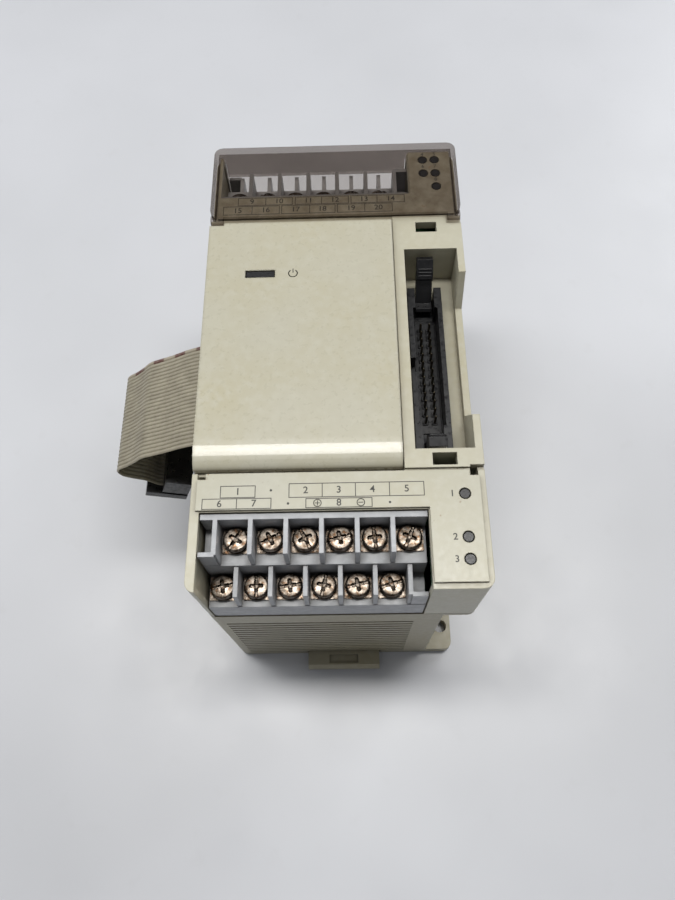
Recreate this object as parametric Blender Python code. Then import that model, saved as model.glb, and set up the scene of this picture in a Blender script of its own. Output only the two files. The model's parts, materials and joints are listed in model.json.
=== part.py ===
"""Extension module of a programmable controller: two-part ivory housing, two screw terminal
blocks, the upper one under a hinged clear cover, a latched 26-pin bus header and a flat bus cable.

It lies on its back: +Z is the front face, +Y the upper terminal end, +X the bus header side.
All sizes below are millimetres, and meshes are made in metres.
"""

import math

import bmesh
import bpy
from mathutils import Vector

MM = 0.001
GAP = 0.3  # left between pieces that touch

# Driving dimensions
WIDTH = 75.0
LENGTH = 140.0
FACE_Z = 98.0  # front face of the bus strip and of the label plates
TOP_Z = 100.0  # top of the hinged terminal cover
SEAM_Z = 68.0  # where the front housing meets the rear case
WALL = 2.0
CORNER = 2.6
TAB = 6.0  # how far the rail latch sticks out of the lower end
PITCH = 8.9  # of the terminals
PIN_PITCH = 2.54
WIRE_PITCH = 1.27
WIRES = 26

# The origin is under the middle of the whole object, rail latch included
X_LEFT = -WIDTH / 2
Y_LOW = -(LENGTH - TAB) / 2


def across(distance):
    """X of a point this far from the left side."""
    return X_LEFT + distance


def along(distance):
    """Y of a point this far from the lower end."""
    return Y_LOW + distance


def span_x(low, high):
    return (across(low), across(high))


def span_y(low, high):
    return (along(low), along(high))


# ---------------------------------------------------------------- making solids


def clear_scene():
    for old in list(bpy.data.objects):
        bpy.data.objects.remove(old, do_unlink=True)


def make_material(name, colour, roughness, metallic=0.0, alpha=1.0):
    material = bpy.data.materials.new(name)
    material.use_nodes = True
    shader = material.node_tree.nodes["Principled BSDF"]
    shader.inputs["Base Color"].default_value = (*colour, 1.0)
    shader.inputs["Roughness"].default_value = roughness
    shader.inputs["Metallic"].default_value = metallic
    shader.inputs["Alpha"].default_value = alpha
    material.diffuse_color = (*colour, alpha)
    return material


def add_object(name, mesh_data, material, origin=(0, 0, 0)):
    """An object of a bmesh built in millimetres, with its origin at the given point."""
    for vertex in mesh_data.verts:
        vertex.co = (vertex.co - Vector(origin)) * MM
    bmesh.ops.recalc_face_normals(mesh_data, faces=mesh_data.faces)
    mesh = bpy.data.meshes.new(name)
    mesh_data.to_mesh(mesh)
    mesh_data.free()
    mesh.materials.append(material)
    thing = bpy.data.objects.new(name, mesh)
    thing.location = Vector(origin) * MM
    bpy.context.scene.collection.objects.link(thing)
    return thing


def place(axis, along_axis, pair):
    """The point at a height along one axis and a pair of coordinates in the plane across it."""
    first, second = pair
    if axis == "x":
        return (along_axis, first, second)
    if axis == "y":
        return (first, along_axis, second)
    return (first, second, along_axis)


def prism(name, material, outline, axis, span, origin=(0, 0, 0)):
    """A closed outline drawn across an axis and stretched along it.

    The outline's pairs are (y, z) across x, (x, z) across y and (x, y) across z.
    """
    low, high = span
    data = bmesh.new()
    bottom = [data.verts.new(place(axis, low, pair)) for pair in outline]
    top = [data.verts.new(place(axis, high, pair)) for pair in outline]
    data.faces.new(bottom)
    data.faces.new(top)
    for index in range(len(outline)):
        after = (index + 1) % len(outline)
        data.faces.new((bottom[index], bottom[after], top[after], top[index]))
    return add_object(name, data, material, origin)


def rectangle(first, second):
    return [
        (first[0], second[0]),
        (first[1], second[0]),
        (first[1], second[1]),
        (first[0], second[1]),
    ]


def rounded_rectangle(first, second, radius, steps=4):
    corners = [
        (first[1] - radius, second[1] - radius, 0),
        (first[0] + radius, second[1] - radius, 90),
        (first[0] + radius, second[0] + radius, 180),
        (first[1] - radius, second[0] + radius, 270),
    ]
    outline = []
    for centre_1, centre_2, start in corners:
        outline += arc(centre_1, centre_2, radius, radius, start, start + 90, steps)
    return outline


def arc(centre_1, centre_2, radius_1, radius_2, start, end, steps):
    """Points on an ellipse's arc between two angles in degrees, both ends included."""
    points = []
    for step in range(steps + 1):
        angle = math.radians(start + (end - start) * step / steps)
        points.append((centre_1 + radius_1 * math.cos(angle), centre_2 + radius_2 * math.sin(angle)))
    return points


def circle(centre_1, centre_2, radius, steps):
    return arc(centre_1, centre_2, radius, radius, 0, 360 * (steps - 1) / steps, steps - 1)


def box(name, material, x, y, z):
    origin = (sum(x) / 2, sum(y) / 2, sum(z) / 2)
    return prism(name, material, rectangle(x, y), "z", z, origin)


def combine(target, operation, tools):
    for tool in tools:
        step = target.modifiers.new(tool.name, "BOOLEAN")
        step.operation = operation
        step.solver = "EXACT"
        step.object = tool
        tool.hide_render = True
        tool.display_type = "WIRE"


def cut(target, *tools):
    combine(target, "DIFFERENCE", tools)


def fuse(target, *tools):
    combine(target, "UNION", tools)


def many_boxes(name, material, boxes):
    """Boxes that stand clear of each other in one mesh, used as a tool."""
    data = bmesh.new()
    for x, y, z in boxes:
        low = [data.verts.new((u, v, z[0])) for u, v in rectangle(x, y)]
        high = [data.verts.new((u, v, z[1])) for u, v in rectangle(x, y)]
        data.faces.new(low)
        data.faces.new(high)
        for index in range(4):
            after = (index + 1) % 4
            data.faces.new((low[index], low[after], high[after], high[index]))
    return add_object(name, data, material)


def close_rings(data, rings):
    """Faces between each ring of vertices and the next, and across the two end rings."""
    for one, two in zip(rings, rings[1:]):
        for index in range(len(one)):
            after = (index + 1) % len(one)
            data.faces.new((one[index], one[after], two[after], two[index]))
    data.faces.new(rings[0])
    data.faces.new(rings[-1])


def shade_round(thing):
    for face in thing.data.polygons:
        face.use_smooth = True
    return thing


# ---------------------------------------------------------------- shared places

# Terminal recesses: the same block at each end, turned half round and a little further out at
# the upper end, where the clear cover closes over it
RECESS_X = (2.4, 60.1)
LOWER_RECESS_DEPTH = 20.3
UPPER_RECESS_DEPTH = 18.7
BLOCK_X = across(sum(RECESS_X) / 2)
BLOCK_HALF = (RECESS_X[1] - RECESS_X[0]) / 2 - GAP
UPPER_BLOCK_SHIFT = 1.45

# Bus header recess in the front face, with the shelf round the header
BUS_X = (57.6, WIDTH - WALL)
BUS_Y = (36.5, 100.5)
SHELF_Z = 83.5
HEADER_X = (58.6, 68.6)
HEADER_Y = (40.0, 92.5)
HEADER_Z = (80.2, 90.0)

# Circuit boards, standing on the rear case's posts
IO_BOARD_Z = (50.0, 51.6)
LOGIC_BOARD_Z = (78.3, 79.9)
POSTS = [(14.0, 30.0), (56.0, 30.0), (14.0, 110.0), (56.0, 110.0)]

# Mounting ears, at two opposite corners of the rear case
EAR_WIDTH = 9.3
EAR_LENGTH = 16.0
EAR_THICK = 5.0
EAR_HOLE = 4.5
EAR_HOLE_INSET = (3.6, 8.0)

# Rail channel and its latch
CHANNEL_HALF = 18.0
CHANNEL_DEPTH = 9.0
HOOK_DEPTH = 2.5
HOOK_Z = 6.0
LATCH_X = (24.5, 49.5)
LATCH_Z = (1.1, 5.0)
LATCH_TRAVEL = 4.0

# Front face: the underside of its plate, the seat of the plates on it, and the raised panel
CEILING_Z = 95.2
SEAT_Z = FACE_Z - 0.8
PLATE_Z = (FACE_Z - 0.5, FACE_Z)
PANEL_X = (0.0, 54.3)

# Indicator places: (from the left, from the lower end)
UPPER_LAMPS = [(64.9, 135.0), (68.6, 135.0), (64.9, 129.6), (68.6, 129.6), (68.6, 124.3)]
LOWER_LAMPS = [(69.4, 24.0), (69.4, 12.7), (69.4, 7.1)]
LAMP_RADIUS = 1.25
POWER_X = (11.4, 20.0)
POWER_Y = (90.7, 93.2)

# Flat cable: where it leaves the left side, and how wide it is
CABLE_Y = (45.8, 45.8 + WIRES * WIRE_PITCH)
CABLE_THICK = 0.9
CABLE_EXIT_Z = 82.5

# The cable's socket, which hangs turned by this much from level
SOCKET_TURN = math.radians(20)
SOCKET_AT = (-20.5, 51.5)
SOCKET_Y = (43.3, 81.3)


# ---------------------------------------------------------------- housing


def ear_corner(at_far_end, x_reach, y_reach):
    """The x and y spans of a box reaching in from one of the two ear corners."""
    if at_far_end:
        return span_x(-1, x_reach), span_y(LENGTH - y_reach, LENGTH + 1)
    return span_x(WIDTH - x_reach, WIDTH + 1), span_y(-1, y_reach)


VENTS = 16
VENT_FIRST_Z = 4.0
VENT_PITCH = 3.5
VENT_HEIGHT = 1.2
VENT_DEPTH = 1.5
VENT_X = (4.0, 58.0)  # at the lower end, clear of the ear; turned half round at the upper end


def vent_grooves(material):
    """Shallow louvre grooves across both end walls."""
    boxes = []
    for row in range(VENTS):
        z = (VENT_FIRST_Z + VENT_PITCH * row, VENT_FIRST_Z + VENT_PITCH * row + VENT_HEIGHT)
        boxes.append((span_x(*VENT_X), span_y(-1, VENT_DEPTH), z))
        turned_x = span_x(WIDTH - VENT_X[1], WIDTH - VENT_X[0])
        boxes.append((turned_x, span_y(LENGTH - VENT_DEPTH, LENGTH + 1), z))
    return many_boxes("vent_cutter", material, boxes)


def make_rear_case(material):
    top = SEAM_Z - GAP
    outline = rounded_rectangle(span_x(0, WIDTH), span_y(0, LENGTH), CORNER)
    case = prism("rear_case", material, outline, "z", (0, top))
    middle = along(LENGTH / 2)
    hollow = box(
        "case_hollow", material, span_x(WALL, WIDTH - WALL), span_y(WALL, LENGTH - WALL), (2.4, top + 1)
    )
    cut(case, hollow)
    fuse(
        case,
        box("rail_floor", material, span_x(1, WIDTH - 1), (middle - 22, middle + 22), (1.0, 11.5)),
        box(
            "latch_floor",
            material,
            span_x(LATCH_X[0] - 4, LATCH_X[1] + 4),
            (along(1), middle - 20),
            (1.0, 7.6),
        ),
    )
    for far_end in (False, True):
        x, y = ear_corner(far_end, EAR_WIDTH + WALL, EAR_LENGTH + WALL)
        inside_x = (max(x[0], across(1)), min(x[1], across(WIDTH - 1)))
        inside_y = (max(y[0], along(1)), min(y[1], along(LENGTH - 1)))
        fuse(case, box(f"ear_block_{far_end}", material, inside_x, inside_y, (1.0, top)))
    for index, (x, y) in enumerate(POSTS):
        post = (IO_BOARD_Z[0] - GAP) - 2.0
        fuse(
            case,
            box(
                f"board_post_{index}",
                material,
                (across(x) - 3, across(x) + 3),
                (along(y) - 3, along(y) + 3),
                (2.0, 2.0 + post),
            ),
        )
    for far_end in (False, True):
        x, y = ear_corner(far_end, EAR_WIDTH, EAR_LENGTH)
        cut(case, box(f"ear_space_{far_end}", material, x, y, (EAR_THICK, top - WALL)))
        hole_x, hole_y = EAR_HOLE_INSET
        near = (across(WIDTH - hole_x), along(hole_y))
        far = (across(hole_x), along(LENGTH - hole_y))
        ring = circle(*(far if far_end else near), EAR_HOLE / 2, 16)
        cut(case, prism(f"ear_hole_{far_end}", material, ring, "z", (-1, EAR_THICK + 1)))
    cut(
        case,
        box(
            "rail_space",
            material,
            span_x(-1, WIDTH + 1),
            (middle - CHANNEL_HALF, middle + CHANNEL_HALF),
            (HOOK_Z, CHANNEL_DEPTH),
        ),
        box(
            "rail_mouth",
            material,
            span_x(-1, WIDTH + 1),
            (middle - CHANNEL_HALF, middle + CHANNEL_HALF - HOOK_DEPTH),
            (-1, HOOK_Z + 0.1),
        ),
        box(
            "latch_guide",
            material,
            span_x(LATCH_X[0] - GAP, LATCH_X[1] + GAP),
            (along(-1), middle - CHANNEL_HALF + 1),
            (0.8, LATCH_Z[1] + GAP),
        ),
        box(
            "latch_mouth",
            material,
            span_x(LATCH_X[0] + 2, LATCH_X[1] - 2),
            (along(-1), middle - CHANNEL_HALF + 1),
            (-1, 0.9),
        ),
        vent_grooves(material),
    )
    stop = span_x((LATCH_X[0] + LATCH_X[1]) / 2 - 1.2, (LATCH_X[0] + LATCH_X[1]) / 2 + 1.2)
    fuse(case, box("spring_post", material, stop, SPRING_POST_Y, (1.4, 6.0)))
    return case


def notch_outline():
    """The trapezium cut down into the right side wall, where the next module's cable passes."""
    return [
        (along(46.1), FACE_Z + 1),
        (along(46.1), FACE_Z),
        (along(51.5), 86.0),
        (along(87.5), 86.0),
        (along(92.1), FACE_Z),
        (along(92.1), FACE_Z + 1),
    ]


def lamp_holes(material):
    holes = []
    for index, (x, y) in enumerate(UPPER_LAMPS + LOWER_LAMPS):
        ring = circle(across(x), along(y), LAMP_RADIUS + GAP, 14)
        holes.append(prism(f"lamp_hole_{index}", material, ring, "z", (90, TOP_Z + 2)))
    return holes


def make_front_housing(material):
    outline = rounded_rectangle(span_x(0, WIDTH), span_y(0, LENGTH), CORNER)
    housing = prism("front_housing", material, outline, "z", (SEAM_Z, FACE_Z))
    hollow = (SEAM_Z - 1, CEILING_Z)
    wide = span_x(-1, WIDTH + 1)
    above = FACE_Z + 1
    recess = span_x(*RECESS_X)
    cut(
        housing,
        box("housing_hollow", material, span_x(WALL, WIDTH - WALL), span_y(WALL, LENGTH - WALL), hollow),
    )
    pocket_x = span_x(BUS_X[0] - WALL, WIDTH - 1)
    pocket_y = span_y(BUS_Y[0] - WALL, BUS_Y[1] + WALL)
    fuse(
        housing,
        box("bus_pocket", material, pocket_x, pocket_y, (SHELF_Z - WALL, FACE_Z - 1.5)),
        box("panel_rib", material, span_x(1, 56), span_y(28.5, 36), (CEILING_Z - 2.8, FACE_Z - 1.5)),
    )
    opening_x = span_x(HEADER_X[0] - GAP, HEADER_X[1] + GAP)
    opening_y = span_y(HEADER_Y[0] - GAP, HEADER_Y[1] + GAP)
    slot_y = span_y(CABLE_Y[0] - 0.6, CABLE_Y[1] + 0.6)
    slot_z = (CABLE_EXIT_Z - 1.7, CABLE_EXIT_Z + 1.7)
    cut(
        housing,
        box("lower_label_seat", material, wide, span_y(-1, 31.2), (SEAT_Z, above)),
        box("upper_label_seat", material, wide, span_y(112.9, LENGTH + 1), (SEAT_Z, above)),
        box("panel_seat", material, span_x(-1, PANEL_X[1] + GAP), span_y(31.0, 113.0), (SEAT_Z, above)),
        box(
            "panel_groove",
            material,
            span_x(-1, PANEL_X[1] + GAP),
            span_y(30.8, 33.8),
            (94.8, SEAT_Z + 0.1),
        ),
        box("lower_recess", material, recess, span_y(-1, LOWER_RECESS_DEPTH), (SEAM_Z - 1, above)),
        box(
            "upper_recess",
            material,
            recess,
            span_y(LENGTH - UPPER_RECESS_DEPTH, LENGTH + 1),
            (SEAM_Z - 1, above),
        ),
        box("bus_recess", material, span_x(*BUS_X), span_y(*BUS_Y), (SHELF_Z, above)),
        box("header_opening", material, opening_x, opening_y, (SHELF_Z - 3, SHELF_Z + 1)),
        prism("side_notch", material, notch_outline(), "x", span_x(WIDTH - WALL - 0.5, WIDTH + 1)),
        box("cable_slot", material, span_x(-1, WALL + 0.5), slot_y, slot_z),
        box("upper_snap_slot", material, span_x(61.4, 67.6), span_y(106.8, 110.4), (90, above)),
        box("lower_snap_slot", material, span_x(61.9, 68.2), span_y(31.9, 35.3), (90, above)),
        *lamp_holes(material),
        box(
            "power_hole",
            material,
            span_x(POWER_X[0] - 1, POWER_X[1] + 1),
            span_y(POWER_Y[0] - 1, POWER_Y[1] + 1),
            (90, above),
        ),
        *hinge_notches(material),
        *cover_rims(material),
    )
    return housing


def hinge_notches(material):
    """Where the covers' hinge lugs drop in: the lower pair is empty."""
    top = FACE_Z + 1
    return [
        box("lower_left_notch", material, span_x(1.4, 3.5), span_y(29.2, 30.9), (FACE_Z - 5, top)),
        box("lower_right_notch", material, span_x(71.3, 73.3), span_y(29.2, 31.8), (FACE_Z - 5, top)),
        box("lower_right_step", material, span_x(73.0, 76), span_y(30.7, 31.8), (FACE_Z - 1.6, top)),
        box("upper_left_notch", material, span_x(-1, 4.3), span_y(109.9, 113.4), (FACE_Z - 0.7, top)),
        box("upper_right_notch", material, span_x(70.7, 76), span_y(109.9, 113.4), (FACE_Z - 0.7, top)),
    ]


def cover_rims(material):
    """The rebate round the upper end that the terminal cover's skirt drops over."""
    skirt = (94.7, FACE_Z + 1)
    side_y = span_y(113.3, LENGTH + 1)
    end_y = span_y(LENGTH - 1.5, LENGTH + 1)
    return [
        box("left_rim", material, span_x(-1, 1.5), side_y, skirt),
        box("right_rim", material, span_x(WIDTH - 1.5, WIDTH + 1), side_y, skirt),
        box("end_rim", material, span_x(-1, WIDTH + 1), end_y, skirt),
    ]


def make_centre_panel(material):
    """The raised front panel: flat, with a full-width edge that rolls down at its lower end."""
    low, high, top = PLATE_Z[0], 110.8, FACE_Z + 1.2
    roll_start, roll_end, roll_drop = 39.5, 31.8, 2.6
    roll = arc(along(roll_start), top - roll_drop, roll_start - roll_end, roll_drop, 90, 180, 8)
    lip = [(along(roll_end), 95.2), (along(33.4), 95.2), (along(33.4), low)]
    outline = [(along(high), low), (along(high), top)] + roll + lip
    panel = prism("centre_panel", material, outline, "x", span_x(*PANEL_X))
    cut(
        panel,
        box("panel_window", material, span_x(*POWER_X), span_y(*POWER_Y), (low - 1, top + 1)),
        box("panel_corner", material, span_x(-1, 4.3), span_y(109.9, 112), (low - 1, top + 1)),
    )
    return panel


def make_label_plates(material):
    """Two L-shaped plates, each with a leg beside its terminal recess for the indicator lamps."""
    lower = [(1.5, 30.5), (1.5, 20.6), (60.4, 20.6), (60.4, 1.5), (73.5, 1.5), (73.5, 30.5)]
    upper = [(2.0, 113.5), (73.2, 113.5), (73.2, 138.2), (60.4, 138.2), (60.4, 121.6), (2.0, 121.6)]
    plates = []
    for name, outline in (("lower_label_plate", lower), ("upper_label_plate", upper)):
        points = [(across(x), along(y)) for x, y in outline]
        plates.append(prism(name, material, points, "z", PLATE_Z))
    lamps = lamp_holes(material)
    cut(
        plates[0],
        *lamps[len(UPPER_LAMPS):],
        box("plate_left_corner", material, span_x(1.0, 3.8), span_y(28.9, 31.5), (90, FACE_Z + 1)),
        box("plate_right_corner", material, span_x(71.0, 74.0), span_y(28.9, 31.5), (90, FACE_Z + 1)),
    )
    cut(plates[1], *lamps[:len(UPPER_LAMPS)])
    return plates


def make_light_guides(material):
    """Clear guides that carry each lamp up to the face: posts on a bar under the housing's front."""
    bar_z = (93.4, 94.9)
    groups = {
        "upper_light_guide": (UPPER_LAMPS, (63.2, 70.3), (122.6, 136.7)),
        "lower_light_guide": (LOWER_LAMPS, (68.0, 70.8), (5.4, 25.7)),
    }
    for name, (lamps, x, y) in groups.items():
        guide = box(name, material, span_x(*x), span_y(*y), bar_z)
        for index, (lamp_x, lamp_y) in enumerate(lamps):
            ring = circle(across(lamp_x), along(lamp_y), LAMP_RADIUS, 14)
            fuse(guide, prism(f"{name}_post_{index}", material, ring, "z", (bar_z[0] + 0.5, FACE_Z - 0.1)))
    guide = box("power_light_guide", material, span_x(9.4, 22.0), span_y(88.7, 95.2), bar_z)
    window_x = span_x(POWER_X[0] + GAP, POWER_X[1] - GAP)
    window_y = span_y(POWER_Y[0] + GAP, POWER_Y[1] - GAP)
    fuse(guide, box("power_post", material, window_x, window_y, (bar_z[0] + 0.5, FACE_Z + 1.0)))


# ---------------------------------------------------------------- terminal cover

HINGE_Y = 111.6
HINGE_Z = 98.9
SKIRT_THICK = 1.2


def make_terminal_cover(material):
    """The clear cover over the upper terminals, hinged along its inner edge."""
    origin = (0, along(HINGE_Y), HINGE_Z)
    plate_low = TOP_Z - 1.4
    outline = rounded_rectangle(span_x(0, WIDTH), span_y(112.5, LENGTH), CORNER)
    cover = prism("upper_terminal_cover", material, outline, "z", (95.0, TOP_Z), origin)
    hollow_x = span_x(SKIRT_THICK, WIDTH - SKIRT_THICK)
    hollow_y = span_y(113.6, LENGTH - SKIRT_THICK)
    cut(
        cover,
        box("cover_hollow", material, hollow_x, hollow_y, (90, plate_low)),
        box("cover_open_edge", material, span_x(-1, WIDTH + 1), span_y(110, 113.7), (90, plate_low)),
    )
    fuse(
        cover,
        box(
            "cover_end_wall",
            material,
            span_x(RECESS_X[0] + GAP, RECESS_X[1] - GAP),
            span_y(LENGTH - SKIRT_THICK, LENGTH),
            (89.0, 96.0),
        ),
    )
    for name, x in (("left", (0.3, 4.0)), ("right", (71.0, WIDTH - 0.3))):
        lug = [(along(HINGE_Y), HINGE_Z - 1.1), (along(113.0), HINGE_Z - 0.6), (along(113.0), TOP_Z - 0.1)]
        nose = arc(along(HINGE_Y), HINGE_Z, 1.1, 1.1, 90, 270, 6)
        fuse(cover, prism(f"hinge_lug_{name}", material, nose[:-1] + lug, "x", span_x(*x)))
    return cover


# ---------------------------------------------------------------- terminals

TERMINALS = 6
INNER_FLOOR = 88.7
OUTER_FLOOR = 78.7
INNER_ROW_Y = 15.0
OUTER_ROW_Y = 5.25
ROW_STEP_Y = 8.8
BAR_Y = (18.4, 19.9)
BAR_TOP = 97.0
FENCE_TOPS = {"inner": 97.0, "outer": 88.0}
FENCE_THICK = 1.2
ROW_SHIFTS = {"inner": 2.0, "outer": -2.5}
SCREW_SINK = 8.0


def terminal_rows():
    """Each terminal's (row, number, x from the block's middle, y from its outer face, floor z)."""
    for number in range(TERMINALS):
        x = PITCH * (number + 0.5 - TERMINALS / 2)
        yield ("inner", number + 1, x + ROW_SHIFTS["inner"], INNER_ROW_Y, INNER_FLOOR)
        yield ("outer", number + 1, x + ROW_SHIFTS["outer"], OUTER_ROW_Y, OUTER_FLOOR)


def fence_spans():
    """(row, low x, high x) of each fence that stands inside the recess's walls."""
    for row, shift in ROW_SHIFTS.items():
        for number in range(TERMINALS + 1):
            x = PITCH * (number - TERMINALS / 2) + shift
            if abs(x) + FENCE_THICK / 2 < BLOCK_HALF:
                yield row, x - FENCE_THICK / 2, x + FENCE_THICK / 2


def make_terminal_block(name, material, far_end):
    """A stepped block: the inner row high, the outer row low and half a pitch across."""
    half = BLOCK_HALF
    outer_face = UPPER_BLOCK_SHIFT + GAP if far_end else GAP
    steps = [
        (outer_face, SEAM_Z),
        (outer_face, OUTER_FLOOR),
        (ROW_STEP_Y, OUTER_FLOOR),
        (ROW_STEP_Y, INNER_FLOOR),
        (BAR_Y[0], INNER_FLOOR),
        (BAR_Y[0], BAR_TOP),
        (BAR_Y[1], BAR_TOP),
        (BAR_Y[1], SEAM_Z),
    ]
    block = prism(name, material, steps, "x", (-half, half))
    lean = 0.6
    fences = {
        "inner": [
            (ROW_STEP_Y + 0.2, INNER_FLOOR - 1),
            (ROW_STEP_Y + lean, FENCE_TOPS["inner"]),
            (BAR_Y[0] + 0.6, FENCE_TOPS["inner"]),
            (BAR_Y[0] + 0.6, INNER_FLOOR - 1),
        ],
        "outer": [
            (outer_face + 0.2, OUTER_FLOOR - 1),
            (outer_face + lean, FENCE_TOPS["outer"]),
            (ROW_STEP_Y + 0.5, FENCE_TOPS["outer"]),
            (ROW_STEP_Y + 0.5, OUTER_FLOOR - 1),
        ],
    }
    for index, (row, low, high) in enumerate(fence_spans()):
        fuse(block, child(block, prism(f"{name}_fence_{index}", material, fences[row], "x", (low, high))))
    stub_x = 4.0
    inner_stub = (ROW_STEP_Y + 0.1, ROW_STEP_Y + 1.3)
    outer_stub = (outer_face + 0.1, outer_face + 1.3)
    inner_z = (INNER_FLOOR - 1, FENCE_TOPS["inner"])
    outer_z = (OUTER_FLOOR - 1, FENCE_TOPS["outer"])
    fuse(
        block,
        child(block, box(f"{name}_inner_stub", material, (-half, stub_x - half), inner_stub, inner_z)),
        child(block, box(f"{name}_outer_stub", material, (half - stub_x, half), outer_stub, outer_z)),
    )
    for row, number, x, y, floor in terminal_rows():
        ring = circle(x, y, SHANK_RADIUS + GAP, 12)
        bore = (floor - SCREW_SINK, floor + 0.5)
        cut(block, child(block, prism(f"{name}_bore_{row}_{number}", material, ring, "z", bore)))
    stand(block, far_end)
    return block


def child(parent, tool):
    tool.parent = parent
    return tool


def stand(thing, far_end):
    """Stands a terminal block, or anything built in its frame, at one end of the module."""
    turn = -1 if far_end else 1
    spot = thing.location
    base = Vector((BLOCK_X, along(LENGTH + UPPER_BLOCK_SHIFT if far_end else 0), 0)) * MM
    thing.location = base + Vector((spot.x * turn, spot.y * turn, spot.z))
    thing.rotation_euler.z = math.pi if far_end else 0


SHANK_RADIUS = 1.75
HEAD_RADIUS = 3.0
CLAMP_HALF_X = 3.4
CLAMP_HALF_Y = 3.0
CLAMP_THICK = 0.9


def make_terminal_screw(name, material, x, y, floor, far_end):
    """A pan head screw with its captive clamp plate."""
    low = floor + GAP
    high = low + CLAMP_THICK
    plate = rectangle((x - CLAMP_HALF_X, x + CLAMP_HALF_X), (y - CLAMP_HALF_Y, y + CLAMP_HALF_Y))
    screw = prism(name, material, plate, "z", (low, high), (x, y, floor))
    profile = [
        (SHANK_RADIUS, floor - SCREW_SINK + 0.6),
        (SHANK_RADIUS, low + 0.3),
        (HEAD_RADIUS, high - 0.3),
        (HEAD_RADIUS, high + 1.4),
        (HEAD_RADIUS - 0.8, high + 2.2),
    ]
    data = bmesh.new()
    rings = []
    for radius, z in profile:
        rings.append([data.verts.new((u, v, z)) for u, v in circle(x, y, radius, 14)])
    close_rings(data, rings)
    head = add_object(f"{name}_head", data, material, (x, y, floor))
    fuse(screw, head)
    stand(screw, far_end)
    stand(head, far_end)
    return screw


# ---------------------------------------------------------------- bus header and latches

LATCH_PIVOT_Z = 84.9
LATCH_LENGTH = 14.2
LATCH_FOOT = -1.4
LATCH_SIDES = {
    # name: (pivot y, which way is outward, degrees it leans open)
    "upper_ejector_latch": (90.3, 1, 34.0),
    "lower_ejector_latch": (42.2, -1, 18.0),
}


def make_bus_header(material):
    header = box("bus_header", material, span_x(*HEADER_X), span_y(*HEADER_Y), HEADER_Z)
    slot = span_x(60.8, 66.4)
    cut(
        header,
        box("header_cavity", material, span_x(60.0, 67.2), span_y(46.9, 85.6), (82.4, 92)),
        box("upper_latch_slot", material, slot, span_y(85.5, 94), (82.6, 92)),
        box("lower_latch_slot", material, slot, span_y(38, 47.0), (82.6, 92)),
        box("polarising_gap", material, span_x(57, 60.5), span_y(64.0, 68.5), (84.5, 92)),
    )
    return header


def make_ejector_latch(name, material, pivot_y, outward, lean):
    """A latch on a cross axis: a toe under the plug, a hook over it and a finger tab."""
    arm = [
        (-1.1, LATCH_FOOT),
        (1.2, LATCH_FOOT),
        (1.2, 9.6),
        (0.9, LATCH_LENGTH),
        (-1.6, LATCH_LENGTH),
        (-2.6, 10.5),
        (-2.6, 8.6),
        (-1.2, 7.8),
        (-1.2, 0.6),
        (-3.0, -0.3),
        (-3.0, LATCH_FOOT),
    ]
    outline = [(along(pivot_y) + outward * y, LATCH_PIVOT_Z + z) for y, z in arm]
    origin = (across(63.6), along(pivot_y), LATCH_PIVOT_Z)
    latch = prism(name, material, outline, "x", span_x(61.2, 66.0), origin)
    latch.rotation_euler.x = -outward * math.radians(lean)
    return latch


# ---------------------------------------------------------------- rail latch and its spring

LATCH_WINDOW_Y = (17.0, 44.3)
SPRING_POST_Y = span_y(38.0, 40.0)
SPRING_TURNS = 9


def make_rail_latch(material):
    middle = LENGTH / 2
    nose = middle - CHANNEL_HALF + HOOK_DEPTH
    low, high = LATCH_Z
    outline = [
        (along(-TAB), low + 0.6), (along(-TAB + 0.6), low), (along(nose), low), (along(nose), high - 1.5),
        (along(nose - 1.5), high), (along(-TAB + 1.2), high), (along(-TAB), high - 1.2),
    ]
    centre = across(sum(LATCH_X) / 2)
    latch = prism("rail_latch", material, outline, "x", span_x(*LATCH_X), (centre, along(0), high))
    cut(
        latch,
        box("spring_window", material, (centre - 3, centre + 3), span_y(*LATCH_WINDOW_Y), (-1, high + 1)),
        box("driver_slot", material, (centre - 5, centre + 5), span_y(-4.2, -1.4), (high - 0.8, high + 1)),
    )
    return latch


def make_latch_spring(material):
    """A tension spring along Y, from the latch window's lower end to the rear case's post."""
    start, end = along(LATCH_WINDOW_Y[0]) + GAP, SPRING_POST_Y[0] - GAP
    centre_x, centre_z, mean, wire = across(sum(LATCH_X) / 2), 3.05, 1.25, 0.3
    steps, sides = 9 * SPRING_TURNS, 5
    data = bmesh.new()
    rings = []
    for step in range(steps + 1):
        turn = 2 * math.pi * SPRING_TURNS * step / steps
        out = Vector((math.cos(turn), 0, math.sin(turn)))
        y = start + wire + (end - start - 2 * wire) * step / steps
        middle = Vector((centre_x, y, centre_z)) + out * mean
        ring = []
        for side in range(sides):
            around = 2 * math.pi * side / sides
            offset = out * math.cos(around) + Vector((0, 1, 0)) * math.sin(around)
            ring.append(data.verts.new(middle + offset * wire))
        rings.append(ring)
    close_rings(data, rings)
    middle = (centre_x, (start + end) / 2, centre_z)
    return shade_round(add_object("rail_latch_spring", data, material, middle))


# ---------------------------------------------------------------- flat bus cable

# The cable's centreline beside the left wall: (from the left side, height)
CABLE_ROUTE = [
    (2.9, 82.5), (0.0, 82.5), (-3.0, 82.2), (-8.0, 80.2), (-13.4, 77.2), (-18.0, 75.0), (-21.3, 73.3),
    (-24.2, 70.2), (-27.3, 67.3), (-29.9, 65.4), (-31.2, 63.2), (-30.7, 60.3), (-28.4, 58.2), (-25.2, 56.4),
]
# Its last stretch, between the socket's body and cap, in the socket's own frame: (across, up)
CABLE_IN_SOCKET = [(-3.2, 1.5), (-1.5, 0.35), (0.2, 0.0), (8.2, 0.0)]


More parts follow.
